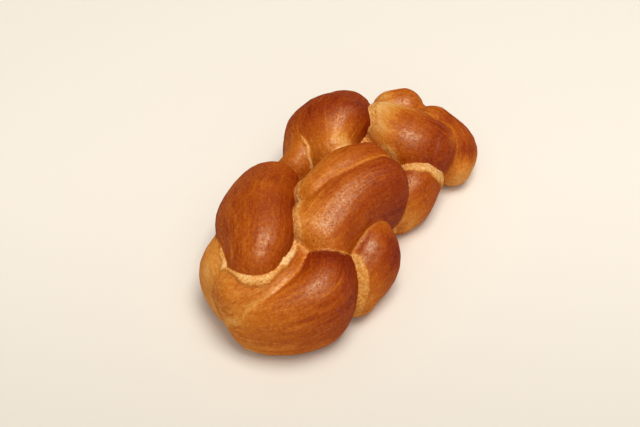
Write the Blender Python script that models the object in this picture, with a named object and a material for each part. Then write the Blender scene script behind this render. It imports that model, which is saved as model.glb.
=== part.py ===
"""A small plaited milk loaf as one baked solid, in metres, with +Z up.

Two ropes of dough are laid across each other and their four ends are plaited, so the crust is a row of
swellings, one wherever a strand passes over another. +X runs along the loaf from its broad nose to its
narrow tail, +Y is its left side, and z = 0 is the flat sole that lay on the baking tray. The origin is
the middle of the loaf's box, on the sole.
"""

import math
from typing import NamedTuple

import bmesh
import bpy
from mathutils import Vector

LOAF_LENGTH = 0.152  # nose to tail
DRAWN_LENGTH = 152.4  # the loaf's length in the units of the stations below, which are millimetres
UNIT = LOAF_LENGTH / DRAWN_LENGTH

SIDES = 32  # corners of a strand's section
SLICES_PER_SPAN = 5  # slices from one station to the next
SLICES_PER_END = 6  # slices in a rounded end
SKIN_STEP = 1.5  # grid on which the strands are fused into one skin
SMOOTHING_ROUNDS = 4
SOLE_PRESS = 0.35  # points of the skin lower than this are pressed flat onto the tray
FACETS_KEPT = 0.2  # share of that skin's facets left in the solid
TRAY_DEPTH = 40.0  # thickness of the block that cuts the sole flat
TRAY_MARGIN = 40.0  # how far that block reaches past the loaf all round

CRUST_COLOUR = (0.45, 0.16, 0.035, 1.0)
CRUST_ROUGHNESS = 0.45


class Station(NamedTuple):
    """A place on a strand's line, with the size of its egg-shaped section there.

    lean moves the section's crest to the strand's left, by that share of its height above the line.
    """

    x: float
    y: float
    z: float
    half_width: float
    rise: float
    drop: float
    lean: float = 0.0


# Each strand swelling has the reach of its two rounded ends, in half widths (small is blunt, large is
# pointed), and its stations. rise and drop are how far the section goes above and below the strand's line.
STRANDS = {
    # the rope that wraps the nose: up the left side, folded over the front and back along the right
    "nose_left": (0.8, 0.8, [
        (-30, 19, 9, 11, 12, 12),
        (-44.5, 17.5, 14, 11.5, 14, 17.5),
        (-55, 12, 16, 13, 16, 19.5),
        (-60.5, 3, 14, 12.5, 15, 17.5),
    ]),
    "nose_fold": (0.82, 0.8, [
        (-63, -1, 16, 13.5, 17, 19.5),
        (-53, -6.5, 19.5, 15.5, 17.5, 20),
        (-41, -8.5, 19.5, 12.5, 14, 20),
    ]),
    "nose": (1.1, 0.75, [
        (-69.3, -6.6, 12.5, 6.9, 10, 14.5),
        (-65.7, -14.2, 15, 8.8, 13, 18),
        (-57.5, -22.5, 18, 11.5, 16, 21.5),
        (-46.5, -27, 20, 12.8, 17.5, 23.5),
        (-36, -21.5, 19, 12.8, 15, 21),
    ]),
    # the upper left row, which passes from the middle out to the left
    "left_1": (0.75, 0.95, [
        (-16.5, 23.5, 22, 14.5, 16, 20, 0.2),
        (-33.5, 17, 27, 15.5, 18, 22, 0.3),
        (-47, 5, 29.5, 14.2, 17, 20, 0.28),
        (-53.5, 0, 28, 11.5, 15.5, 18, 0.15),
    ]),
    "left_2": (0.9, 0.9, [
        (14, 13, 25.5, 11, 15.5, 20, -0.1),
        (25, 23, 26.5, 18.5, 18, 24, -0.35),
        (38.5, 25.5, 23, 14.5, 15, 20, -0.3),
    ]),
    "left_3": (0.9, 0.9, [
        (61.5, 11.5, 16, 10.5, 12, 19),
        (66, 7, 16.5, 10.5, 12, 19),
    ]),
    # the upper right row, which passes from the middle out to the right
    "right_1": (0.7, 0.85, [
        (-27, -10.5, 26, 15.5, 15.5, 20),
        (-5.5, -12.7, 29, 13.8, 17.5, 24),
        (9.5, -17.2, 27, 12.5, 16.5, 24),
    ]),
    "right_1_fold": (0.9, 0.9, [
        (-12, -1, 28.5, 11, 15, 16),
        (2, -4.5, 30.5, 13.5, 16, 16),
        (13, -7, 28.5, 12.5, 14.5, 16),
    ]),
    "right_2": (0.9, 0.9, [
        (46.5, 5, 22, 12.5, 14.5, 20, -0.15),
        (45, -7.5, 23, 17, 15.5, 20, -0.2),
        (48, -16, 20.5, 14, 14, 20, -0.1),
    ]),
    "tail": (0.9, 0.9, [
        (64.5, -9, 15.5, 12, 14, 18.5, -0.2),
        (62.5, -20.5, 13, 12, 13, 16.5, -0.25),
        (55.5, -24.8, 10, 10, 10.5, 13),
    ]),
    "tail_tuck": (0.9, 0.9, [
        (64, 7, 11, 9, 8, 14),
        (66, -1, 10, 8.5, 8, 13),
        (66, -10, 11, 9, 9, 14),
    ]),
    # the lower right row, which climbs from the sole and passes under the upper right row
    "low_right_1": (0.9, 0.9, [
        (-6.5, -21.5, 15, 10, 12, 18),
        (-15.5, -29.5, 16, 12, 15, 19.5),
        (-30, -30.5, 10, 10, 11.5, 13),
    ]),
    "low_right_2": (0.9, 0.9, [
        (37, -20, 13, 10, 12, 16),
        (26.5, -21.5, 14, 11, 13.5, 17.5),
        (17.5, -19, 11, 10.5, 12, 14.5),
    ]),
    # the lower left row, which climbs from the sole and passes under the upper left row
    "low_left_1": (0.9, 0.9, [
        (-18, 18, 8, 10, 9, 11.5),
        (-5, 23.5, 10, 12, 11, 13.5),
        (8, 22, 18, 9.8, 16, 20),
        (19.5, 29.5, 18, 10.5, 16, 20),
        (30, 32, 14, 8.5, 12, 16),
    ]),
    "low_left_2": (0.9, 0.9, [
        (42, 21, 8, 10, 10, 11.5),
        (56, 17, 10, 9, 11, 13.5),
    ]),
}

# The dough in the middle of the plait, which the strands lie on.
CORE = (0.9, 0.9, [
    (-51, -5, 7, 16, 16, 10.5),
    (-6, -3, 7, 24, 18, 10.5),
    (32, 4, 9, 24, 18, 12.5),
    (50, 2, 8, 19, 15, 11.5),
    (62, -4, 7, 10, 12, 10.5),
])


def clear_scene():
    """Remove every object."""
    for item in list(bpy.data.objects):
        bpy.data.objects.remove(item, do_unlink=True)


def crust_material():
    """The egg-washed crust as one even colour."""
    material = bpy.data.materials.new("crust")
    material.use_nodes = True
    shader = material.node_tree.nodes["Principled BSDF"]
    shader.inputs["Base Color"].default_value = CRUST_COLOUR
    shader.inputs["Roughness"].default_value = CRUST_ROUGHNESS
    shader.inputs["Metallic"].default_value = 0.0
    return material


def curve_between(before, start, end, after, share):
    """One value of the Catmull-Rom curve that runs from start to end as share goes from 0 to 1."""
    straight = end - start
    bend_in = (end - before) / 2.0
    bend_out = (after - start) / 2.0
    cubic = bend_in + bend_out - 2.0 * straight
    square = 3.0 * straight - 2.0 * bend_in - bend_out
    return start + share * (bend_in + share * (square + share * cubic))


def slices_of(stations):
    """Stations at even steps on the smooth curve through the given ones."""
    held = [stations[0], *stations, stations[-1]]
    slices = []
    for before, start, end, after in zip(held, held[1:], held[2:], held[3:]):
        for step in range(SLICES_PER_SPAN):
            share = step / SLICES_PER_SPAN
            values = [curve_between(*four, share) for four in zip(before, start, end, after)]
            slices.append(Station(*values))
    slices.append(Station(*stations[-1]))
    return slices


def rounded_end(station, outward, reach):
    """Slices of shrinking size that close a strand beyond a station, in the order they lead away from it."""
    closing = []
    for step in range(1, SLICES_PER_END + 1):
        angle = step / SLICES_PER_END * math.pi / 2.0
        size = math.cos(angle)
        centre = Vector(station[:3]) + outward * (reach * station.half_width * math.sin(angle))
        sizes = [station.half_width * size, station.rise * size, station.drop * size]
        closing.append(Station(*centre, *sizes, station.lean))
    return closing


def strand_slices(start_reach, end_reach, stations):
    """Every slice of one swelling, from the point of one rounded end to the point of the other."""
    middle = slices_of([Station(*row) for row in stations])
    start_way = (Vector(middle[0][:3]) - Vector(middle[1][:3])).normalized()
    end_way = (Vector(middle[-1][:3]) - Vector(middle[-2][:3])).normalized()
    start = rounded_end(middle[0], start_way, start_reach)
    end = rounded_end(middle[-1], end_way, end_reach)
    return start[::-1] + middle + end


def slice_axes(slices, index):
    """Sideways and upward directions of a slice, square to the strand's line."""
    ahead = Vector(slices[min(index + 1, len(slices) - 1)][:3])
    behind = Vector(slices[max(index - 1, 0)][:3])
    along = (ahead - behind).normalized()
    side = Vector((0.0, 0.0, 1.0)).cross(along).normalized()
    return side, along.cross(side)


def make_strand(name, start_reach, end_reach, stations):
    """One swelling: a ball whose parallels are moved onto the slices of the strand."""
    slices = strand_slices(start_reach, end_reach, stations)
    last = len(slices) - 1
    bm = bmesh.new()
    bmesh.ops.create_uvsphere(bm, u_segments=SIDES, v_segments=last, radius=1.0)
    for vertex in bm.verts:
        height = max(-1.0, min(1.0, vertex.co.z))
        index = round(math.acos(height) / math.pi * last)
        around = math.atan2(vertex.co.y, vertex.co.x)
        place = slices[index]
        side, up = slice_axes(slices, index)
        above = (place.rise if around > 0.0 else place.drop) * math.sin(around)
        across = place.half_width * math.cos(around) + place.lean * max(above, 0.0)
        vertex.co = (Vector(place[:3]) + side * across + up * above) * UNIT
    bmesh.ops.recalc_face_normals(bm, faces=bm.faces)
    mesh = bpy.data.meshes.new(name)
    bm.to_mesh(mesh)
    bm.free()
    return bpy.data.objects.new(name, mesh)


def make_tray():
    """The block below z = 0 that cuts the sole flat."""
    bm = bmesh.new()
    bmesh.ops.create_cube(bm, size=1.0)
    across = DRAWN_LENGTH + 2.0 * TRAY_MARGIN
    bmesh.ops.scale(bm, vec=Vector((across, across, TRAY_DEPTH)) * UNIT, verts=bm.verts)
    bmesh.ops.translate(bm, vec=Vector((0.0, 0.0, -TRAY_DEPTH / 2.0)) * UNIT, verts=bm.verts)
    mesh = bpy.data.meshes.new("tray")
    bm.to_mesh(mesh)
    bm.free()
    return bpy.data.objects.new("tray", mesh)


def fuse(loaf, strands, tray):
    """Join the strands to the loaf, cut its sole flat and turn the result into one even skin."""
    joined = loaf.modifiers.new("joined strands", "BOOLEAN")
    joined.operation = "UNION"
    joined.solver = "EXACT"
    joined.operand_type = "COLLECTION"
    joined.collection = strands
    sole = loaf.modifiers.new("flat sole", "BOOLEAN")
    sole.operation = "DIFFERENCE"
    sole.solver = "EXACT"
    sole.object = tray
    skin = loaf.modifiers.new("even skin", "REMESH")
    skin.mode = "VOXEL"
    skin.voxel_size = SKIN_STEP * UNIT
    soft = loaf.modifiers.new("soft edges", "SMOOTH")
    soft.factor = 0.5
    soft.iterations = SMOOTHING_ROUNDS
    lighter = loaf.modifiers.new("fewer facets", "DECIMATE")
    lighter.ratio = FACETS_KEPT


def press_sole(bm):
    """Bring every point that is close to z = 0 exactly onto it."""
    for vertex in bm.verts:
        if vertex.co.z < SOLE_PRESS * UNIT:
            vertex.co.z = 0.0


def centre_on_origin(bm):
    """Move the loaf along the tray until the middle of its box is on the Z axis."""
    for axis in (0, 1):
        reach = [vertex.co[axis] for vertex in bm.verts]
        middle = (min(reach) + max(reach)) / 2.0
        for vertex in bm.verts:
            vertex.co[axis] -= middle


def make_loaf():
    """The finished solid, with its modifiers applied and its helpers gone."""
    scene = bpy.context.scene.collection
    strands = bpy.data.collections.new("strands")
    scene.children.link(strands)
    for name, size in STRANDS.items():
        strands.objects.link(make_strand(name, *size))
    tray = make_tray()
    rough = make_strand("core", *CORE)
    scene.objects.link(tray)
    scene.objects.link(rough)
    fuse(rough, strands, tray)

    fused = rough.evaluated_get(bpy.context.evaluated_depsgraph_get())
    bm = bmesh.new()
    bm.from_mesh(fused.to_mesh())
    press_sole(bm)
    centre_on_origin(bm)
    mesh = bpy.data.meshes.new("braided_loaf")
    bm.to_mesh(mesh)
    bm.free()
    clear_scene()

    mesh.shade_smooth()
    mesh.materials.append(crust_material())
    scene.objects.link(bpy.data.objects.new("braided_loaf", mesh))


clear_scene()
make_loaf()
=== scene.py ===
"""Looks of a small plaited milk loaf: the crust of its strands, the torn dough between them, table, light and camera.

Lengths in the strand table are millimetres at the loaf's own size, and every one of them is scaled by the
loaf's box, so that the crust always fits the solid it stands for. Everything else is in metres.
"""

from __future__ import annotations

import logging
import math
from dataclasses import dataclass, field
from enum import Enum

import bmesh
import bpy
import numpy as np
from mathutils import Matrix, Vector, noise


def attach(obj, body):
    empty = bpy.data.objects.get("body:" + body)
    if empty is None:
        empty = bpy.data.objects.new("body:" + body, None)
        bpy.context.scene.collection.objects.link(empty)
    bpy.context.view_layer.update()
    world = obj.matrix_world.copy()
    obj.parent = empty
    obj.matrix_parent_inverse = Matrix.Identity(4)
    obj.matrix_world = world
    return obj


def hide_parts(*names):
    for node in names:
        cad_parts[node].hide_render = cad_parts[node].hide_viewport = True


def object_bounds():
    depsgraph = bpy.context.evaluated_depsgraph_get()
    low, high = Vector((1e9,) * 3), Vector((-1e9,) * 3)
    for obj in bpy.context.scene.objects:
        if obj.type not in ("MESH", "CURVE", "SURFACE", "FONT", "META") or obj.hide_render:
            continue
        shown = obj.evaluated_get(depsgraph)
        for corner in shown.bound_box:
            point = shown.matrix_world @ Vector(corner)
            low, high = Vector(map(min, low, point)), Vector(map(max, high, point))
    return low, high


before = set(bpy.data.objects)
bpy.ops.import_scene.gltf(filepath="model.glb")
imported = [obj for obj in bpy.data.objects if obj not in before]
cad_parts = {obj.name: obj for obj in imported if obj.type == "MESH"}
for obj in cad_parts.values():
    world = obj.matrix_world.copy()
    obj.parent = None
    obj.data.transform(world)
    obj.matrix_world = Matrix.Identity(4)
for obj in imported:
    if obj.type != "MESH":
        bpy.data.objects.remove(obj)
CAD_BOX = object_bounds()

LOG = logging.getLogger("loaf")
NODE = "braided_loaf"
DRAWN_LENGTH = 153.0  # length of the loaf in the units of the strand table
Numbers = np.ndarray
Tree = bpy.types.NodeTree


class Joint(Enum):
    """What became of the dough where two strands meet."""

    TORN = "torn open, pale and rough"
    # A light ridge is paler dough, partly a painted highlight on its crest.
    RIDGE = "a thin light ridge"
    ROPE = "a soft hollow in one rope"


# ---------------------------------------------------------------- shader writing


@dataclass(frozen=True)
class Value:
    """One output socket of a material, so that shader maths reads as Python."""

    tree: Tree
    socket: bpy.types.NodeSocket

    def math(self, operation: str, first: object, second: object = 0.0) -> Value:
        """Adds one Math node.

        Args:
            operation: Name of the Math node's operation.
            first: Its first operand, a value or a number.
            second: Its second operand.

        Returns:
            The node's result.
        """
        node = self.tree.nodes.new("ShaderNodeMath")
        node.operation = operation
        plug(self.tree, node.inputs[0], first)
        plug(self.tree, node.inputs[1], second)
        return Value(self.tree, node.outputs[0])

    def __add__(self, other: object) -> Value:
        """self + other."""
        return self.math("ADD", self, other)

    def __radd__(self, other: object) -> Value:
        """other + self."""
        return self.math("ADD", other, self)

    def __sub__(self, other: object) -> Value:
        """self - other."""
        return self.math("SUBTRACT", self, other)

    def __rsub__(self, other: object) -> Value:
        """other - self."""
        return self.math("SUBTRACT", other, self)

    def __mul__(self, other: object) -> Value:
        """self * other."""
        return self.math("MULTIPLY", self, other)

    def __rmul__(self, other: object) -> Value:
        """other * self."""
        return self.math("MULTIPLY", other, self)

    def ramp(self, low: float, high: float) -> Value:
        """Smooth step of this value.

        Args:
            low: Where the step starts, at 0.
            high: Where it ends, at 1.

        Returns:
            A value between 0 and 1.
        """
        node = self.tree.nodes.new("ShaderNodeMapRange")
        node.interpolation_type = "SMOOTHSTEP"
        plug(self.tree, node.inputs["Value"], self)
        node.inputs["From Min"].default_value = low
        node.inputs["From Max"].default_value = high
        return Value(self.tree, node.outputs["Result"])


def plug(tree: Tree, socket: bpy.types.NodeSocket, value: object) -> None:
    """Links a value to a socket, or sets the socket to a number or a colour.

    Args:
        tree: Tree that holds the socket.
        socket: Input socket to feed.
        value: A Value to link, or a constant.
    """
    if isinstance(value, Value):
        tree.links.new(value.socket, socket)
    else:
        socket.default_value = value


@dataclass(frozen=True)
class Shader:
    """Writes nodes into one material."""

    material: bpy.types.Material

    @classmethod
    def named(cls, name: str) -> Shader:
        """Starts an empty material.

        Args:
            name: The material's name.

        Returns:
            A writer for it.
        """
        material = bpy.data.materials.new(name)
        material.use_nodes = True
        material.node_tree.nodes.clear()
        return cls(material)

    def add(
        self,
        kind: str,
        settings: dict[str, object] | None = None,
        inputs: dict[str | int, object] | None = None,
        output: str | int | None = 0,
    ) -> Value | None:
        """Adds one node.

        Args:
            kind: The node's type.
            settings: Its own settings; "stops" fills a colour ramp with (place, colour) pairs.
            inputs: Values or links of its sockets, by name or by number.
            output: The output to hand on, or None for a node that ends the tree.

        Returns:
            That output.
        """
        tree = self.material.node_tree
        node = tree.nodes.new(kind)
        for key, setting in (settings or {}).items():
            if key == "stops":
                self._fill_ramp(node.color_ramp, setting)
            else:
                setattr(node, key, setting)
        for key, value in (inputs or {}).items():
            plug(tree, node.inputs[key], value)
        return None if output is None else Value(tree, node.outputs[output])

    def _fill_ramp(self, ramp: bpy.types.ColorRamp, stops: list[tuple]) -> None:
        """Puts the stops on a colour ramp.

        Args:
            ramp: The ramp of a new Color Ramp node, which starts with two stops.
            stops: Pairs of place and linear colour, in order.
        """
        while len(ramp.elements) < len(stops):
            ramp.elements.new(1.0)
        for element, (place, colour) in zip(ramp.elements, stops):
            element.position = place
            element.color = (*colour, 1.0)

    def attribute(self, name: str, output: str = "Fac") -> Value:
        """Reads one attribute of the piece.

        Args:
            name: The attribute's name.
            output: Fac for a number, Vector for a place.

        Returns:
            The attribute.
        """
        return self.add("ShaderNodeAttribute", {"attribute_name": name}, output=output)

    def stretched(self, place: Value, scale: tuple[float, float, float]) -> Value:
        """Stretches a place before a pattern reads it.

        Args:
            place: The place.
            scale: Factor on each axis.

        Returns:
            The stretched place.
        """
        return self.add("ShaderNodeMapping", {}, {"Vector": place, "Scale": scale}, "Vector")

    def noise(self, place: Value, scale: float, detail: float = 2.0, rough: float = 0.5) -> Value:
        """A cloudy pattern.

        Args:
            place: Where it is read.
            scale: Its frequency.
            detail: Its number of finer layers.
            rough: How strong those are.

        Returns:
            A value around 0.5.
        """
        inputs = {"Vector": place, "Scale": scale, "Detail": detail, "Roughness": rough}
        return self.add("ShaderNodeTexNoise", {}, inputs, "Fac")

    def blend(self, share: object, first: object, second: object) -> Value:
        """Mixes two colours.

        Args:
            share: 0 gives the first, 1 the second.
            first: A colour or a value.
            second: A colour or a value.

        Returns:
            The mixed colour.
        """
        inputs = {0: share, 6: first, 7: second}
        return self.add("ShaderNodeMix", {"data_type": "RGBA"}, inputs, 2)

    def close(self, surface: Value) -> bpy.types.Material:
        """Ends the material with its surface.

        Args:
            surface: The shader's output.

        Returns:
            The finished material.
        """
        self.add("ShaderNodeOutputMaterial", {}, {"Surface": surface}, None)
        return self.material


# ---------------------------------------------------------------- the shape of one strand


@dataclass(frozen=True)
class Station:
    """A place on a strand's line, with its egg-shaped section there.

    rise and drop are how far the section goes above and below the line. lean shifts the section's crest to
    the left, as seen when going along the strand, by that share of its height.
    """

    x: float
    y: float
    z: float
    half_width: float
    rise: float
    drop: float
    lean: float = 0.0

    def row(self) -> list[float]:
        """The seven numbers in order."""
        return [self.x, self.y, self.z, self.half_width, self.rise, self.drop, self.lean]


@dataclass(frozen=True)
class Browning:
    """How brown a strand is baked, from 0, pale, to 1, nearly black.

    start, middle and end are along the strand; left and right are added towards its two sides, as seen
    when going along it; sole is added towards its underside.
    """

    start: float
    middle: float
    end: float
    left: float = 0.0
    right: float = 0.0
    sole: float = -0.25

    def at(self, along: Numbers, across: Numbers, above: Numbers) -> Numbers:
        """The browning at places of the strand.

        Args:
            along: From 0 at its start to 1 at its end.
            across: From -1 at its right side to 1 at its left side.
            above: From -1 at its underside to 1 at its top.

        Returns:
            The browning there.
        """
        tone = np.interp(along, (0.0, 0.5, 1.0), (self.start, self.middle, self.end))
        tone = tone + self.left * np.clip(across, 0.0, 1.0) ** 2
        tone = tone + self.right * np.clip(-across, 0.0, 1.0) ** 2
        return tone + self.sole * np.clip(-above, 0.0, 1.0) ** 2


@dataclass(frozen=True)
class Places:
    """Where points lie on one strand."""

    outside: Numbers
    along: Numbers
    share: Numbers
    across: Numbers
    above: Numbers


@dataclass
class Strand:
    """One swelling of a strand of dough: an egg-shaped section swept along a smooth line, with round ends."""

    name: str
    brown: Browning
    stations: list[Station]
    start_reach: float = 0.9
    end_reach: float = 0.9
    sides: int = 48
    per_span: int = 6
    per_end: int = 8

    def middle_rows(self) -> Numbers:
        """Station rows at even steps on the Catmull-Rom curve through the strand's stations."""
        rows = np.array([station.row() for station in self.stations])
        held = np.vstack([rows[:1], rows, rows[-1:]])
        steps = []
        for index in range(len(rows) - 1):
            before, start, end, after = held[index : index + 4]
            for share in np.arange(self.per_span) / self.per_span:
                bend_in, bend_out = (end - before) / 2.0, (after - start) / 2.0
                cubic = bend_in + bend_out - 2.0 * (end - start)
                square = 3.0 * (end - start) - 2.0 * bend_in - bend_out
                steps.append(start + share * (bend_in + share * (square + share * cubic)))
        return np.array([*steps, rows[-1]])

    def end_rows(self, row: Numbers, outward: Numbers, reach: float) -> list[Numbers]:
        """Shrinking rows that close a strand beyond its last row.

        Args:
            row: The last row.
            outward: Unit direction in which the strand goes on.
            reach: Length of the round end, in half widths.

        Returns:
            The rows, in the order that leads away from the strand.
        """
        closing = []
        for angle in np.arange(1, self.per_end + 1) / self.per_end * math.pi / 2.0:
            centre = row[:3] + outward * (reach * row[3] * math.sin(angle))
            closing.append(np.concatenate([centre, row[3:6] * math.cos(angle), row[6:]]))
        return closing

    def axes(self, rows: Numbers) -> tuple[Numbers, Numbers, Numbers]:
        """Directions along, sideways and upwards at each row.

        Args:
            rows: Station rows in order.

        Returns:
            Three arrays of unit directions.
        """
        along = np.gradient(rows[:, :3], axis=0)
        along /= np.linalg.norm(along, axis=1, keepdims=True)
        side = np.cross((0.0, 0.0, 1.0), along)
        side /= np.linalg.norm(side, axis=1, keepdims=True)
        return along, side, np.cross(along, side)

    def build(self) -> bmesh.types.BMesh:
        """The strand as a closed skin, cut flat and closed at z = 0."""
        middle = self.middle_rows()
        along = self.axes(middle)[0]
        start = self.end_rows(middle[0], -along[0], self.start_reach)
        end = self.end_rows(middle[-1], along[-1], self.end_reach)
        rows = np.array([*start[::-1], *middle, *end])
        _, side, up = self.axes(rows)
        last = len(rows) - 1
        bm = bmesh.new()
        bmesh.ops.create_uvsphere(bm, u_segments=self.sides, v_segments=last, radius=1.0)
        for vertex in bm.verts:
            index = round(math.acos(max(-1.0, min(1.0, vertex.co.z))) / math.pi * last)
            around = math.atan2(vertex.co.y, vertex.co.x)
            row = rows[index]
            above = (row[4] if around > 0.0 else row[5]) * math.sin(around)
            across = row[3] * math.cos(around) + row[6] * max(above, 0.0)
            vertex.co = row[:3] + side[index] * across + up[index] * above
        bmesh.ops.recalc_face_normals(bm, faces=bm.faces)
        parts = [*bm.verts, *bm.edges, *bm.faces]
        bmesh.ops.bisect_plane(bm, geom=parts, plane_no=(0.0, 0.0, 1.0), clear_inner=True)
        bmesh.ops.holes_fill(bm, edges=[edge for edge in bm.edges if edge.is_boundary])
        return bm

    def locate(self, points: Numbers) -> Places:
        """Finds points in the strand's own terms.

        Args:
            points: Their places.

        Returns:
            How far each is outside the strand's skin, and where it is along and across it.
        """
        rows = self.middle_rows()
        axes = self.axes(rows)
        starts, steps = rows[:-1, :3], np.diff(rows[:, :3], axis=0)
        length = np.linalg.norm(steps, axis=1)
        share = np.einsum("psk,sk->ps", points[:, None] - starts, steps) / length**2
        share = np.clip(share, 0.0, 1.0)
        nearest = starts + share[..., None] * steps
        index = np.argmin(np.sum((points[:, None] - nearest) ** 2, axis=2), axis=1)
        every = np.arange(len(points))
        part = share[every, index][:, None]
        here = rows[index] * (1.0 - part) + rows[index + 1] * part
        way, side, up = (axis[index] * (1.0 - part) + axis[index + 1] * part for axis in axes)
        offset = points - here[:, :3]
        past, across, above = (np.sum(offset * axis, axis=1) for axis in (way, side, up))
        across = across - here[:, 6] * np.maximum(above, 0.0)
        travelled = np.concatenate([[0.0], np.cumsum(length)])
        along = travelled[index] + part[:, 0] * length[index] + past

        wide = here[:, 3]
        tall = np.where(above > 0.0, here[:, 4], here[:, 5])
        deep = wide * np.where(past < 0.0, self.start_reach, self.end_reach)
        at_end = ((index == 0) & (part[:, 0] <= 0.0)) | ((index == len(steps) - 1) & (part[:, 0] >= 1.0))
        past = np.where(at_end, past, 0.0)
        size = np.sqrt((across / wide) ** 2 + (above / tall) ** 2 + (past / deep) ** 2) + 1e-9
        slope = np.sqrt((across / wide**2) ** 2 + (above / tall**2) ** 2 + (past / deep**2) ** 2) / size
        outside = (size - 1.0) / np.maximum(slope, 1e-3)
        total = travelled[-1]
        return Places(outside, along, along / total, across / wide, above / tall)

    def grain(self, found: Places) -> Numbers:
        """Places along, across and above the strand's line in millimetres, for patterns that follow it.

        Args:
            found: Places on the strand.

        Returns:
            One row for each place.
        """
        rows = self.middle_rows()
        wide, tall = rows[:, 3].mean(), rows[:, 4].mean()
        return np.stack([found.along, found.across * wide, found.above * tall], axis=1)


@dataclass(frozen=True)
class Mark:
    """What a seam is like near one place along it, in millimetres.

    width is how far it reaches over the lower strand, and below 0 the strands have grown together there.
    pale is how light it is, and lift how far it stands out of the crust.
    """

    x: float
    y: float
    width: float
    pale: float
    lift: float


@dataclass(frozen=True)
class Seam:
    """Where one strand lies over another. Its marks blend into each other along it."""

    over: str
    under: str
    kind: Joint
    marks: tuple[Mark, ...] = ()

    def along(self, points: Numbers) -> tuple[Numbers, Numbers, Numbers]:
        """Blends the seam's marks.

        Args:
            points: Places in the loaf.

        Returns:
            The seam's width, paleness and lift at each place.
        """
        spots = np.array([(mark.x, mark.y) for mark in self.marks])
        facts = np.array([(mark.width, mark.pale, mark.lift) for mark in self.marks])
        apart = np.sum((points[:, None, :2] - spots) ** 2, axis=2)
        weight = 1.0 / (apart + 4.0) ** 2
        blended = weight @ facts / weight.sum(axis=1, keepdims=True)
        return blended[:, 0], blended[:, 1], blended[:, 2]


def swelling(name: str, brown: Browning, rows: list[tuple], ends: tuple[float, float] = (0.9, 0.9)) -> Strand:
    """Makes a strand from plain rows.

    Args:
        name: Its name.
        brown: How it is baked.
        rows: x, y, z, half width, rise and drop of its stations.
        ends: Length of its two round ends, in half widths.

    Returns:
        The strand.
    """
    return Strand(name, brown, [Station(*row) for row in rows], *ends)


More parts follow.
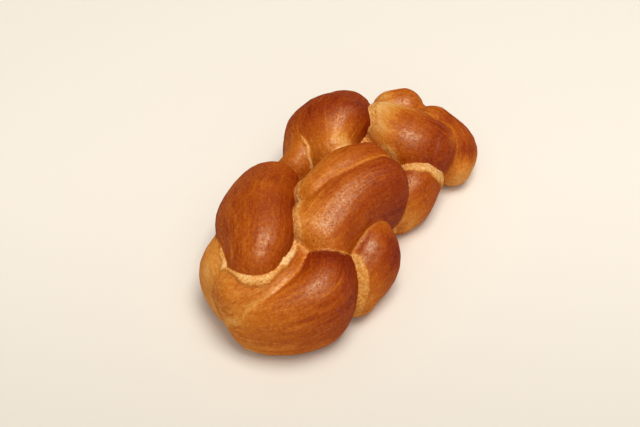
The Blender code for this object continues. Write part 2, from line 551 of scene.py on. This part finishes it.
def plait() -> list[Strand]:
    """The strands of the loaf, from its broad nose to its narrow tail, and the dough under them."""
    return [
        swelling("nose_left", Browning(0.52, 0.44, 0.42), [
            (-30, 19, 9, 11, 12, 12),
            (-44.5, 17.5, 14, 11.5, 14, 17.5),
            (-55, 12, 16, 13, 16, 19.5),
            (-60.5, 3, 14, 12.5, 15, 17.5),
        ], (0.8, 0.8)),
        swelling("nose_fold", Browning(0.48, 0.58, 0.56), [
            (-63, -1, 16, 13.5, 17, 19.5),
            (-53, -6.5, 19.5, 15.5, 17.5, 20),
            (-41, -8.5, 19.5, 12.5, 14, 20),
        ], (0.82, 0.8)),
        # The nose's end is darkest where it goes under right_1: partly baked colour, partly painted shade of the
        # crevice there.
        swelling("nose", Browning(0.42, 0.63, 0.9, right=0.06), [
            (-69.3, -6.6, 12.5, 6.9, 10, 14.5),
            (-65.7, -14.2, 15, 8.8, 13, 18),
            (-57.5, -22.5, 18, 11.5, 16, 21.5),
            (-46.5, -27, 20, 12.8, 17.5, 23.5),
            (-36, -21.5, 19, 12.8, 15, 21),
        ], (1.1, 0.75)),
        swelling("left_1", Browning(0.74, 0.72, 0.68, left=0.1), [
            (-16.5, 23.5, 22, 14.5, 16, 20, 0.2),
            (-33.5, 17, 27, 15.5, 18, 22, 0.3),
            (-47, 5, 29.5, 14.2, 17, 20, 0.28),
            (-53.5, 0, 28, 11.5, 15.5, 18, 0.15),
        ], (0.75, 0.95)),
        swelling("left_2", Browning(0.52, 0.88, 0.86, right=0.08), [
            (14, 13, 25.5, 11, 15.5, 20, -0.1),
            (25, 23, 26.5, 18.5, 18, 24, -0.35),
            (38.5, 25.5, 23, 14.5, 15, 20, -0.3),
        ]),
        swelling("left_3", Browning(0.5, 0.6, 0.6), [
            (61.5, 11.5, 16, 10.5, 12, 19),
            (66, 7, 16.5, 10.5, 12, 19),
        ]),
        swelling("right_1", Browning(0.5, 0.7, 0.84, right=0.06), [
            (-27, -10.5, 26, 15.5, 15.5, 20),
            (-5.5, -12.7, 29, 13.8, 17.5, 24),
            (9.5, -17.2, 27, 12.5, 16.5, 24),
        ], (0.7, 0.85)),
        swelling("right_1_fold", Browning(0.5, 0.64, 0.74, left=-0.12), [
            (-12, -1, 28.5, 11, 15, 16),
            (2, -4.5, 30.5, 13.5, 16, 16),
            (13, -7, 28.5, 12.5, 14.5, 16),
        ]),
        swelling("right_2", Browning(0.18, 0.58, 0.86), [
            (46.5, 5, 22, 12.5, 14.5, 20, -0.15),
            (45, -7.5, 23, 17, 15.5, 20, -0.2),
            (48, -16, 20.5, 14, 14, 20, -0.1),
        ]),
        swelling("tail", Browning(0.6, 0.66, 0.4, left=0.1), [
            (64.5, -9, 15.5, 12, 14, 18.5, -0.2),
            (62.5, -20.5, 13, 12, 13, 16.5, -0.25),
            (55.5, -24.8, 10, 10, 10.5, 13),
        ]),
        swelling("tail_tuck", Browning(0.5, 0.55, 0.6), [
            (64, 7, 11, 9, 8, 14),
            (66, -1, 10, 8.5, 8, 13),
            (66, -10, 11, 9, 9, 14),
        ]),
        swelling("low_right_1", Browning(0.55, 0.76, 0.5), [
            (-6.5, -21.5, 15, 10, 12, 18),
            (-15.5, -29.5, 16, 12, 15, 19.5),
            (-30, -30.5, 10, 10, 11.5, 13),
        ]),
        swelling("low_right_2", Browning(0.7, 0.72, 0.5, right=-0.2), [
            (37, -20, 13, 10, 12, 16),
            (26.5, -21.5, 14, 11, 13.5, 17.5),
            (17.5, -19, 11, 10.5, 12, 14.5),
        ]),
        swelling("low_left_1", Browning(0.55, 0.58, 0.6), [
            (-18, 18, 8, 10, 9, 11.5),
            (-5, 23.5, 10, 12, 11, 13.5),
            (8, 22, 18, 9.8, 16, 20),
            (19.5, 29.5, 18, 10.5, 16, 20),
            (30, 32, 14, 8.5, 12, 16),
        ]),
        swelling("low_left_2", Browning(0.5, 0.55, 0.5), [
            (42, 21, 8, 10, 10, 11.5),
            (56, 17, 10, 9, 11, 13.5),
        ]),
        swelling("core", Browning(0.35, 0.35, 0.35), [
            (-51, -5, 7, 16, 16, 10.5),
            (-6, -3, 7, 24, 18, 10.5),
            (32, 4, 9, 24, 18, 12.5),
            (50, 2, 8, 19, 15, 11.5),
            (62, -4, 7, 10, 12, 10.5),
        ]),
    ]


def tear(over: str, under: str, *marks: tuple) -> Seam:
    """A torn seam, from plain rows of x, y, width, pale and lift."""
    return Seam(over, under, Joint.TORN, tuple(Mark(*mark) for mark in marks))


def ridge(over: str, under: str, *marks: tuple) -> Seam:
    """A seam with a light ridge, from plain rows of x, y, width, pale and lift."""
    return Seam(over, under, Joint.RIDGE, tuple(Mark(*mark) for mark in marks))


def seams() -> list[Seam]:
    """The tears, ridges and hollows between the strands."""
    return [
        tear("left_1", "nose_left", (-54, 18, 0.6, 0.3, 0.1), (-59, 11, 2.2, 0.6, 0.4), (-61, 7, 3.2, 0.8, 0.6)),
        tear(
            "left_1", "nose_fold",
            (-63, 2, 1.6, 0.6, 0.5), (-63, -4, 3.2, 0.7, 0.8), (-60, -10, 3.0, 0.68, 0.7),
            (-54, -12, 1.8, 0.6, 0.5), (-48, -11, 3.0, 1.05, 0.7), (-40, -9, 3.2, 0.75, 0.7),
        ),
        tear(
            "left_1", "right_1",
            (-33, -6, 4.8, 0.45, 0.7), (-31, -2, 4.2, 0.45, 0.6), (-27, 3, 6.2, 0.52, 0.8), (-20, 7, 4.6, 0.55, 0.5),
        ),
        tear("left_1", "right_1_fold", (-27, 3, 6.2, 0.75, 0.8), (-18, 7, 3.6, 0.6, 0.5)),
        tear("left_1", "low_left_1", (-2, 17, 1.4, 0.5, 0.3), (-8, 22, 1.0, 0.4, 0.2)),
        tear(
            "left_2", "low_left_1",
            (14, 24, 0.8, 0.4, 0.3), (11, 20, 1.6, 0.6, 0.5), (7, 17, 2.0, 0.7, 0.5),
            (12, 32, -2.0, 0.2, 0.0), (22, 38, -2.0, 0.2, 0.0),
        ),
        tear("left_2", "right_2", (39, 9, 4.2, 0.6, 0.3), (30, 1, 3.6, 0.6, 0.3)),
        tear("left_2", "left_3", (55, 19, 1.0, 0.4, 0.2)),
        tear("left_2", "core", (35, 5, 2.5, 0.6, 0.2)),
        tear("left_2", "low_left_2", (48, 24, 1.5, 0.4, 0.2)),
        tear("left_3", "low_left_2", (55, 20, 1.5, 0.4, 0.2)),
        tear("right_1", "right_2", (25, -9, 6.4, 0.42, 0.4), (26, -14, 6.2, 0.42, 0.4)),
        tear("right_1", "core", (25, -9, 3.0, 0.6, 0.3)),
        tear("right_1_fold", "right_2", (22, -5, 6.4, 0.42, 0.4)),
        tear("right_1_fold", "core", (22, -5, 2.8, 0.6, 0.3)),
        tear("right_1", "nose", (-33, -10, 0.9, 0.5, 0.3), (-32, -16, 1.1, 0.55, 0.4), (-28, -21, 1.6, 0.6, 0.5)),
        tear("right_1", "nose_fold", (-34, -9, 1.5, 0.6, 0.4)),
        tear(
            "right_1", "low_right_1",
            (-26, -23, 1.5, 0.5, 0.4), (-19, -26, 1.4, 0.25, 0.4), (-12, -28, 1.2, 0.2, 0.3), (0, -27, 0.8, 0.2, 0.2),
        ),
        tear("right_1", "low_right_2", (24, -21, 1.4, 0.5, 0.2), (19, -26, 1.2, 0.4, 0.2), (12, -27, 1.0, 0.3, 0.1)),
        tear(
            "nose", "low_right_1",
            (-26, -25, 2.4, 0.8, 0.5), (-28, -30, 4.6, 0.5, 0.6), (-31, -35, 5.4, 0.4, 0.7),
            (-36, -37, 4.4, 0.35, 0.5), (-37, -33, 3.0, 0.35, 0.4),
        ),
        tear("right_2", "low_right_2", (33, -14, 4.4, 0.6, 0.3), (36, -20, 6.2, 0.68, 0.6), (45, -23, 4.4, 0.62, 0.4)),
        ridge("right_1_fold", "left_2", (-7, 6, 1.2, 0.25, 0.3), (9, -1, 1.2, 0.35, 0.4)),
        ridge("right_1", "right_1_fold", (-15, -5, 0.9, 0.0, 0.1), (-5, -9, 1.0, 0.2, 0.3), (12, -13, 1.1, 0.3, 0.4)),
        ridge(
            "nose", "nose_fold",
            (-72, 0, -1.6, 0.1, 0.2), (-66, -13, 1.8, 0.16, 0.4), (-48, -15, 1.4, 0.12, 0.5), (-40, -13, 1.2, 0.12, 0.3),
        ),
        ridge("nose", "nose_left", (-72, 0, -1.6, 0.1, 0.2)),
        ridge("right_2", "tail", (54, -12, 2.0, 0.2, 0.4), (57, -20, -2.4, 0.15, 0.1), (51, -25, -1.5, 0.1, 0.1)),
        ridge("right_2", "left_3", (60, 8, 1.4, 0.15, 0.2)),
        Seam("nose_left", "nose_fold", Joint.ROPE),
        Seam("tail", "tail_tuck", Joint.ROPE),
        Seam("left_3", "tail_tuck", Joint.ROPE),
    ]


@dataclass(frozen=True)
class Patch:
    """A place of a strand that is browner (or, below 0, paler) than the rest of it."""

    strand: str
    x: float
    y: float
    z: float
    reach: float
    change: float


def patches() -> list[Patch]:
    """The dark and the pale places of the crust; the first one is painted shade on the nose, and the one on left_2 is
    partly a painted highlight.
    """
    return [
        # Painted shade: darkens the top of the nose's end where it tucks under right_1.
        Patch("nose", -35, -24, 35, 8.0, 0.15),
        Patch("nose_left", -60, 8, 20, 8.0, -0.1),
        Patch("nose_fold", -66, -12, 12, 9.0, -0.3),
        Patch("right_1", -22, -20, 36, 9.0, 0.16),
        Patch("right_2", 41, -6, 38, 5.0, 0.12),
        Patch("nose_left", -71, 2, 14, 8.0, -0.2),
        Patch("nose_left", -64, 16, 25, 6.0, -0.12),
        # Paler place on the lower end of left_2 beside right_1_fold: partly paler crust, partly a painted highlight.
        Patch("left_2", 15.5, 6.5, 38, 4.5, -0.25),
        Patch("left_3", 59, 16, 26, 5.0, -0.15),
        Patch("right_1_fold", 0, -1, 45, 4.0, -0.06),
        Patch("right_2", 36, -1, 36, 6.0, -0.2),
        Patch("right_2", 53.5, -25, 28, 4.0, -0.25),
        Patch("tail", 68, -16, 27, 5.0, 0.2),
        Patch("tail", 59, -29, 19, 6.0, 0.3),
        Patch("tail", 55, -31, 8, 8.0, -0.15),
        Patch("low_right_1", -11, -38, 24, 7.0, 0.25),
        Patch("low_right_2", 18, -28, 12, 7.0, -0.12),
        Patch("left_1", -36, 4, 44, 7.0, 0.1),
    ]


@dataclass(frozen=True)
class Relief:
    """Heights and sizes of the crust's relief, in millimetres."""

    swell: float = 0.5
    swell_size: float = 16.0
    wrinkle: float = 0.14
    wrinkle_length: float = 20.0
    wrinkle_width: float = 2.2
    tear: float = 0.35
    tear_size: float = 1.3

    def wrinkles(self, along: float, across: float, above: float) -> float:
        """Height of the wrinkles that run along a strand, at a place in its grain."""
        wide = self.wrinkle_width
        return self.wrinkle * noise.noise(Vector((along / self.wrinkle_length, across / wide, above / wide)))

    def roughness(self, place: Vector) -> float:
        """Height of torn dough at a place."""
        fine = place / self.tear_size
        return self.tear * (noise.noise(fine) + 0.5 * noise.noise(fine * 2.3))


@dataclass(frozen=True)
class Tears:
    """For each point: how far inside a tear it is, the tear's paleness, its lift, and how near a ridge is."""

    inside: Numbers
    pale: Numbers
    lift: Numbers
    ridge: Numbers


@dataclass
class Loaf:
    """The plaited loaf as one skin, made in millimetres and then brought to the loaf's box."""

    strands: list[Strand] = field(default_factory=plait)
    seams: list[Seam] = field(default_factory=seams)
    patches: list[Patch] = field(default_factory=patches)
    relief: Relief = Relief()
    skin_step: float = 0.70
    smoothing: int = 4
    sole_press: float = 0.35
    joint_reach: float = 6.0
    joint_smoothing: int = 80
    shoulder: float = 3.0
    ridge_edge: float = 0.5
    points: Numbers = field(init=False)
    found: list[Places] = field(init=False)
    owner: Numbers = field(init=False)

    def build(self, crust: bpy.types.Material) -> bpy.types.Object:
        """Makes the loaf.

        Args:
            crust: Its material.

        Returns:
            The finished piece.
        """
        bm = self.skin()
        self.locate(bm)
        self.soften_ropes(bm)
        self.locate(bm)
        tears = self.tears()
        grain = self.grain_of_owner()
        self.raise_relief(bm, tears, grain)
        self.press_sole(bm)
        self.fit_box(bm)
        mesh = bpy.data.meshes.new("plaited_crust")
        bm.to_mesh(mesh)
        bm.free()
        self.write_attributes(mesh, tears)
        mesh.shade_smooth()
        mesh.materials.append(crust)
        piece = bpy.data.objects.new("plaited_crust", mesh)
        bpy.context.scene.collection.objects.link(piece)
        LOG.info("%s: %d faces", piece.name, len(mesh.polygons))
        return piece

    def skin(self) -> bmesh.types.BMesh:
        """All strands fused into one even skin, in millimetres."""
        together = bmesh.new()
        for strand in self.strands:
            part = bpy.data.meshes.new(strand.name)
            single = strand.build()
            single.to_mesh(part)
            single.free()
            together.from_mesh(part)
            bpy.data.meshes.remove(part)
        joined = bpy.data.meshes.new("strands")
        together.to_mesh(joined)
        together.free()
        helper = bpy.data.objects.new("strands", joined)
        bpy.context.scene.collection.objects.link(helper)
        remesh = helper.modifiers.new("skin", "REMESH")
        remesh.mode = "VOXEL"
        remesh.voxel_size = self.skin_step
        smooth = helper.modifiers.new("smooth", "SMOOTH")
        smooth.factor = 0.5
        smooth.iterations = self.smoothing
        evaluated = helper.evaluated_get(bpy.context.evaluated_depsgraph_get())
        bm = bmesh.new()
        bm.from_mesh(evaluated.to_mesh())
        evaluated.to_mesh_clear()
        bpy.data.objects.remove(helper)
        bpy.data.meshes.remove(joined)
        return bm

    def locate(self, bm: bmesh.types.BMesh) -> None:
        """Finds every point of the skin on every strand, and the strand that it belongs to."""
        self.points = np.array([vertex.co[:] for vertex in bm.verts])
        self.found = [strand.locate(self.points) for strand in self.strands]
        self.owner = np.argmin(np.stack([found.outside for found in self.found]), axis=0)

    def gap(self, seam: Seam) -> Numbers:
        """Distance from a seam, positive on its lower strand and huge on every other strand."""
        names = [strand.name for strand in self.strands]
        over, under = names.index(seam.over), names.index(seam.under)
        ours = (self.owner == over) | (self.owner == under)
        return np.where(ours, self.found[over].outside - self.found[under].outside, 1e3)

    def grown(self, seam: Seam) -> Numbers:
        """Tells near which points of a seam its two strands have grown together."""
        together = seam.kind is Joint.ROPE or seam.along(self.points)[0] < 0.0
        return together & (np.abs(self.gap(seam)) < self.joint_reach)

    def soften_ropes(self, bm: bmesh.types.BMesh) -> None:
        """Smooths the skin where two strands have grown together."""
        near = np.zeros(len(self.points), dtype=bool)
        for seam in self.seams:
            near |= self.grown(seam)
        chosen = [vertex for vertex, close in zip(bm.verts, near) if close]
        every_way = {"use_axis_x": True, "use_axis_y": True, "use_axis_z": True}
        for _ in range(self.joint_smoothing):
            bmesh.ops.smooth_vert(bm, verts=chosen, factor=0.5, **every_way)

    def tears(self) -> Tears:
        """Measures every tear and ridge at every point of the skin."""
        count = len(self.points)
        inside, ridge = np.full(count, -5.0), np.zeros(count)
        pale, lift = np.zeros(count), np.zeros(count)
        for seam in self.seams:
            if seam.kind is Joint.ROPE:
                continue
            gap = self.gap(seam)
            width, light, rise = seam.along(self.points)
            if seam.kind is Joint.RIDGE:
                hump = np.exp(-((gap / np.where(gap > 0.0, width, self.ridge_edge)) ** 2))
                ridge = np.maximum(ridge, light * hump)
                lift = np.maximum(lift, rise * hump)
                continue
            depth = np.where(gap > 0.0, width - gap, width + gap * self.shoulder * np.maximum(width, 0.5))
            here = depth > inside
            inside = np.where(here, depth, inside)
            pale = np.where(here, light, pale)
            body = np.sin(math.pi * np.clip(gap / np.maximum(width, 0.1), 0.0, 1.0)) ** 0.7
            lift = np.maximum(lift, np.where(here, rise * body, 0.0))
        return Tears(inside, pale, lift, ridge)

    def grain_of_owner(self) -> Numbers:
        """Each point's place in the grain of its own strand."""
        every = np.stack([strand.grain(found) for strand, found in zip(self.strands, self.found)])
        return every[self.owner, np.arange(len(self.points))]

    def raise_relief(self, bm: bmesh.types.BMesh, tears: Tears, grain: Numbers) -> None:
        """Moves the skin in and out: slow swells, wrinkles along the strands, and the rough tears.

        Args:
            bm: The skin.
            tears: Its tears.
            grain: Its points' places in the grain.
        """
        relief = self.relief
        bm.normal_update()
        for index, vertex in enumerate(bm.verts):
            place = Vector(self.points[index])
            height = relief.swell * noise.noise(place / relief.swell_size) + float(tears.lift[index])
            depth = min(1.0, max(0.0, float(tears.inside[index])))
            height += depth * relief.roughness(place) + (1.0 - depth) * relief.wrinkles(*grain[index])
            vertex.co += vertex.normal * height

    def press_sole(self, bm: bmesh.types.BMesh) -> None:
        """Brings every point close to z = 0 exactly onto it."""
        for vertex in bm.verts:
            if vertex.co.z < self.sole_press:
                vertex.co.z = 0.0

    def fit_box(self, bm: bmesh.types.BMesh) -> None:
        """Scales and places the skin so that its length and its middle are those of the loaf's box."""
        low, high = CAD_BOX
        places = np.array([vertex.co[:] for vertex in bm.verts])
        least, most = places.min(axis=0), places.max(axis=0)
        unit = (high.x - low.x) / (most[0] - least[0])
        middle = (least + most) / 2.0
        centre = (low + high) / 2.0
        bmesh.ops.translate(bm, vec=(-middle[0], -middle[1], 0.0), verts=bm.verts)
        bmesh.ops.scale(bm, vec=(unit, unit, unit), verts=bm.verts)
        bmesh.ops.translate(bm, vec=(centre.x, centre.y, low.z), verts=bm.verts)
        LOG.info("skin of %s mm at scale %.6f", np.round(most - least, 1), unit)

    def browning(self) -> Numbers:
        """How brown each point is baked."""
        pairs = zip(self.strands, self.found)
        every = np.stack([strand.brown.at(found.share, found.across, found.above) for strand, found in pairs])
        tone = every[self.owner, np.arange(len(self.points))]
        names = [strand.name for strand in self.strands]
        for seam in self.seams:
            share = 0.5 + 0.5 * self.gap(seam) / self.joint_reach
            mixed = every[names.index(seam.over)] * (1.0 - share) + every[names.index(seam.under)] * share
            tone = np.where(self.grown(seam), mixed, tone)
        for patch in self.patches:
            ours = self.owner == names.index(patch.strand)
            apart = np.linalg.norm(self.points[ours] - (patch.x, patch.y, patch.z), axis=1)
            tone[ours] += patch.change * np.exp(-((apart / patch.reach) ** 2))
        return tone

    def write_attributes(self, mesh: bpy.types.Mesh, tears: Tears) -> None:
        """Writes what the crust's material reads.

        Args:
            mesh: The finished mesh, with its points in the order in which they were measured.
            tears: Its tears.
        """
        values = {"browning": self.browning(), "tear": tears.inside, "pale": tears.pale, "ridge": tears.ridge}
        for name, numbers in values.items():
            attribute = mesh.attributes.new(name, "FLOAT", "POINT")
            attribute.data.foreach_set("value", numbers.astype(np.float32))
        corner_point = np.zeros(len(mesh.loops), dtype=np.int32)
        mesh.loops.foreach_get("vertex_index", corner_point)
        sides = np.zeros(len(mesh.polygons), dtype=np.int32)
        mesh.polygons.foreach_get("loop_total", sides)
        first = np.concatenate([[0], np.cumsum(sides)[:-1]])
        face_owner = self.owner[corner_point[first]]
        every = np.stack([strand.grain(found) for strand, found in zip(self.strands, self.found)])
        grain = every[np.repeat(face_owner, sides), corner_point]
        attribute = mesh.attributes.new("grain", "FLOAT_VECTOR", "CORNER")
        attribute.data.foreach_set("vector", grain.astype(np.float32).ravel())


# ---------------------------------------------------------------- finishes

Colour = tuple[float, float, float]


@dataclass(frozen=True)
class Crust:
    """Milk-washed crust, from pale gold to deep brown, with rough torn dough along its seams."""

    bakes: tuple[tuple[float, Colour], ...] = (
        (0.0, (0.82, 0.50, 0.21)),
        (0.18, (0.75, 0.38, 0.11)),
        (0.36, (0.66, 0.25, 0.035)),
        (0.52, (0.54, 0.14, 0.008)),
        (0.68, (0.40, 0.072, 0.001)),
        (0.84, (0.29, 0.034, 0.0)),
        (1.0, (0.19, 0.014, 0.0)),
    )
    doughs: tuple[tuple[float, Colour], ...] = (
        (0.0, (0.50, 0.16, 0.02)),
        (0.35, (0.65, 0.26, 0.05)),
        (0.7, (0.75, 0.38, 0.12)),
        (1.0, (0.86, 0.57, 0.27)),
    )
    roughness: float = 0.36
    torn_roughness: float = 0.8
    gloss: float = 0.13
    sheen_roughness: float = 0.47
    gloss_index: float = 2.0

    def make(self) -> bpy.types.Material:
        """Makes the material."""
        shader = Shader.named("plaited_crust")
        where = shader.add("ShaderNodeTexCoord", output="Object")
        place = shader.stretched(where, (1000.0, 1000.0, 1000.0))
        grain = shader.attribute("grain", "Vector")
        tear, pale = shader.attribute("tear"), shader.attribute("pale")

        drift = shader.noise(place, 0.07, 1.0, 0.5)
        fibres = shader.noise(shader.stretched(grain, (0.09, 0.45, 0.45)), 1.0, 5.0, 0.7)
        threads = shader.noise(shader.stretched(grain, (0.3, 1.7, 1.7)), 1.0, 3.0, 0.6)
        clouds = shader.noise(place, 0.1, 3.0, 0.55)
        mottle = shader.noise(place, 0.7, 4.0, 0.8)
        scratches = shader.noise(shader.stretched(grain, (0.07, 1.8, 1.8)), 1.0, 2.0, 0.5).ramp(0.6, 0.7)
        tone = shader.attribute("browning") + (fibres - 0.5) * (drift.ramp(0.42, 0.64) + 0.4) * 0.52 + (threads - 0.5) * 0.22
        # Ridges lighten the tone along the seams' crests: partly paler stretched dough, partly a painted highlight on
        # the crest.
        tone = tone + (clouds - 0.5) * 0.18 + (mottle - 0.5) * 0.6 - scratches * 0.12 - shader.attribute("ridge")
        baked = shader.add("ShaderNodeValToRGB", {"stops": self.bakes}, {"Fac": tone}, "Color")

        crumbs = shader.noise(place, 0.9, 3.0, 0.6)
        rags = shader.noise(place, 0.4, 4.0, 0.65)
        torn = (tear + (rags - 0.5) * 3.2).ramp(-0.2, 0.9)
        whiteness = pale + (crumbs - 0.5) * 2.0 + (tear.ramp(0.0, 1.8) - 1.0) * 0.5
        dough = shader.add("ShaderNodeValToRGB", {"stops": self.doughs}, {"Fac": whiteness}, "Color")
        colour = shader.blend(torn, baked, dough)

        pores = shader.noise(place, 1.1, 2.0, 0.6)
        height = threads * 0.4 + pores * 1.2 + mottle * 0.8 + scratches * 0.3 + crumbs * torn * 2.0
        bump = shader.add("ShaderNodeBump", {}, {"Strength": 0.7, "Distance": 0.0003, "Height": height}, "Normal")
        glaze = ((pores - 0.5) * 4.5 + 1.0) * (1.0 - torn * 0.85)
        inputs = {
            "Base Color": colour,
            "Roughness": self.roughness + (mottle - 0.5) * 0.2 + torn * (self.torn_roughness - self.roughness),
            "Specular IOR Level": 0.0,
            "Coat Weight": glaze * self.gloss,
            "Coat IOR": self.gloss_index,
            "Coat Roughness": self.sheen_roughness,
            "Normal": bump,
        }
        return shader.close(shader.add("ShaderNodeBsdfPrincipled", {}, inputs, "BSDF"))


@dataclass(frozen=True)
class TableTop:
    """Smooth warm white paper under the loaf, with painted shade: a little darker towards the front, where the light
    falls off.
    """

    colour: Colour = (0.832, 0.79, 0.745)
    near_shade: float = 0.75
    roughness: float = 0.85

    def make(self) -> bpy.types.Material:
        """Makes the material."""
        shader = Shader.named("warm_paper")
        where = shader.add("ShaderNodeTexCoord", output="Object")
        split = {"Vector": where}
        x, y = (shader.add("ShaderNodeSeparateXYZ", {}, split, axis) for axis in ("X", "Y"))
        # Painted shade: the paper darkens towards the camera, in place of the lamps' light falling off.
        near = (x * -0.81 + y * -0.59).ramp(-0.05, 0.2)
        shade = tuple(self.near_shade * part for part in self.colour)
        colour = shader.blend(near, (*self.colour, 1.0), (*shade, 1.0))
        inputs = {"Base Color": colour, "Roughness": self.roughness}
        return shader.close(shader.add("ShaderNodeBsdfPrincipled", {}, inputs, "BSDF"))


# ---------------------------------------------------------------- the set


@dataclass(frozen=True)
class Floor:
    """The pale table."""

    half_size: float = 3.0

    def build(self, paper: bpy.types.Material) -> bpy.types.Object:
        """Makes the table's surface just under the loaf.

        Args:
            paper: Its material.

        Returns:
            The floor.
        """
        bm = bmesh.new()
        bmesh.ops.create_grid(bm, x_segments=1, y_segments=1, size=self.half_size)
        bmesh.ops.translate(bm, vec=(0.0, 0.0, CAD_BOX[0].z), verts=bm.verts)
        mesh = bpy.data.meshes.new("table_top")
        bm.to_mesh(mesh)
        bm.free()
        mesh.materials.append(paper)
        floor = bpy.data.objects.new("table_top", mesh)
        bpy.context.scene.collection.objects.link(floor)
        return floor


def direction(azimuth: float, elevation: float) -> Vector:
    """Unit vector towards an azimuth (0 is -Y, 90 is +X) and an elevation, both in degrees."""
    turn, climb = math.radians(azimuth), math.radians(elevation)
    return Vector((math.sin(turn) * math.cos(climb), -math.cos(turn) * math.cos(climb), math.sin(climb)))


@dataclass(frozen=True)
class SoftBox:
    """One square area light that faces the loaf. Only a glossy one is mirrored in the crust."""

    name: str
    azimuth: float
    elevation: float
    distance: float
    size: float
    power: float
    colour: Colour = (1.0, 1.0, 1.0)
    glossy: bool = True
    diffuse: bool = True

    def build(self, target: Vector) -> bpy.types.Object:
        """Makes the light.

        Args:
            target: The point that it faces.

        Returns:
            The light.
        """
        data = bpy.data.lights.new(self.name, "AREA")
        data.size = self.size
        data.energy = self.power
        data.color = self.colour
        light = bpy.data.objects.new(self.name, data)
        light.visible_glossy = self.glossy
        light.visible_diffuse = self.diffuse
        away = direction(self.azimuth, self.elevation)
        light.location = target + away * self.distance
        light.rotation_mode = "QUATERNION"
        light.rotation_quaternion = (-away).to_track_quat("-Z", "Y")
        bpy.context.scene.collection.objects.link(light)
        return light


@dataclass(frozen=True)
class Studio:
    """Soft light from near the camera, a wide soft sky over the table and a dim warm room."""

    lights: tuple[SoftBox, ...] = (
        SoftBox("key_light", 10.0, 82.0, 1.35, 0.65, 13.5, (1.0, 0.96, 0.88), glossy=False),
        SoftBox("sheen_light", 0.0, 81.0, 1.35, 0.7, 66.0, (1.0, 0.95, 0.6), diffuse=False),
        SoftBox("sky_light", -54.0, 50.0, 2.2, 3.0, 18.0, (1.0, 0.96, 0.88), glossy=False),
    )
    room: Colour = (1.0, 0.94, 0.86)
    room_strength: float = 0.31

    def build(self, target: Vector) -> None:
        """Makes the lights and the room around them.

        Args:
            target: The point that the lights face.
        """
        for box in self.lights:
            box.build(target)
        world = bpy.data.worlds.new("studio_room")
        world.use_nodes = True
        background = world.node_tree.nodes["Background"]
        background.inputs["Color"].default_value = (*self.room, 1.0)
        background.inputs["Strength"].default_value = self.room_strength
        world.cycles_visibility.glossy = False
        bpy.context.scene.world = world


@dataclass(frozen=True)
class Viewpoint:
    """The camera."""

    azimuth: float = -54.0
    elevation: float = 48.0
    distance: float = 0.464
    lens: float = 60.0
    sensor: float = 36.0
    offset: tuple[float, float, float] = (-0.0014, 0.0071, -0.0155)

    def build(self) -> None:
        """Makes the camera, looking at a point near the middle of the loaf."""
        data = bpy.data.cameras.new("camera")
        data.lens = self.lens
        data.sensor_width = self.sensor
        data.clip_start, data.clip_end = 0.01, 20.0
        camera = bpy.data.objects.new("camera", data)
        back = direction(self.azimuth, self.elevation)
        aim = (CAD_BOX[0] + CAD_BOX[1]) / 2.0 + Vector(self.offset)
        camera.location = aim + back * self.distance
        camera.rotation_mode = "QUATERNION"
        camera.rotation_quaternion = (-back).to_track_quat("-Z", "Y")
        bpy.context.scene.collection.objects.link(camera)
        bpy.context.scene.camera = camera


def main() -> None:
    """Builds the loaf, the table, the light and the camera."""
    logging.basicConfig(level=logging.INFO, format="%(name)s: %(message)s")
    Viewpoint().build()
    loaf = Loaf().build(Crust().make())
    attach(loaf, "root")
    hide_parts(NODE)
    floor = Floor().build(TableTop().make())
    LOG.info("%s: the table", floor.name)
    Studio().build((CAD_BOX[0] + CAD_BOX[1]) / 2.0)
    bpy.context.scene.view_settings.view_transform = "Standard"


if __name__ == "__main__":
    main()
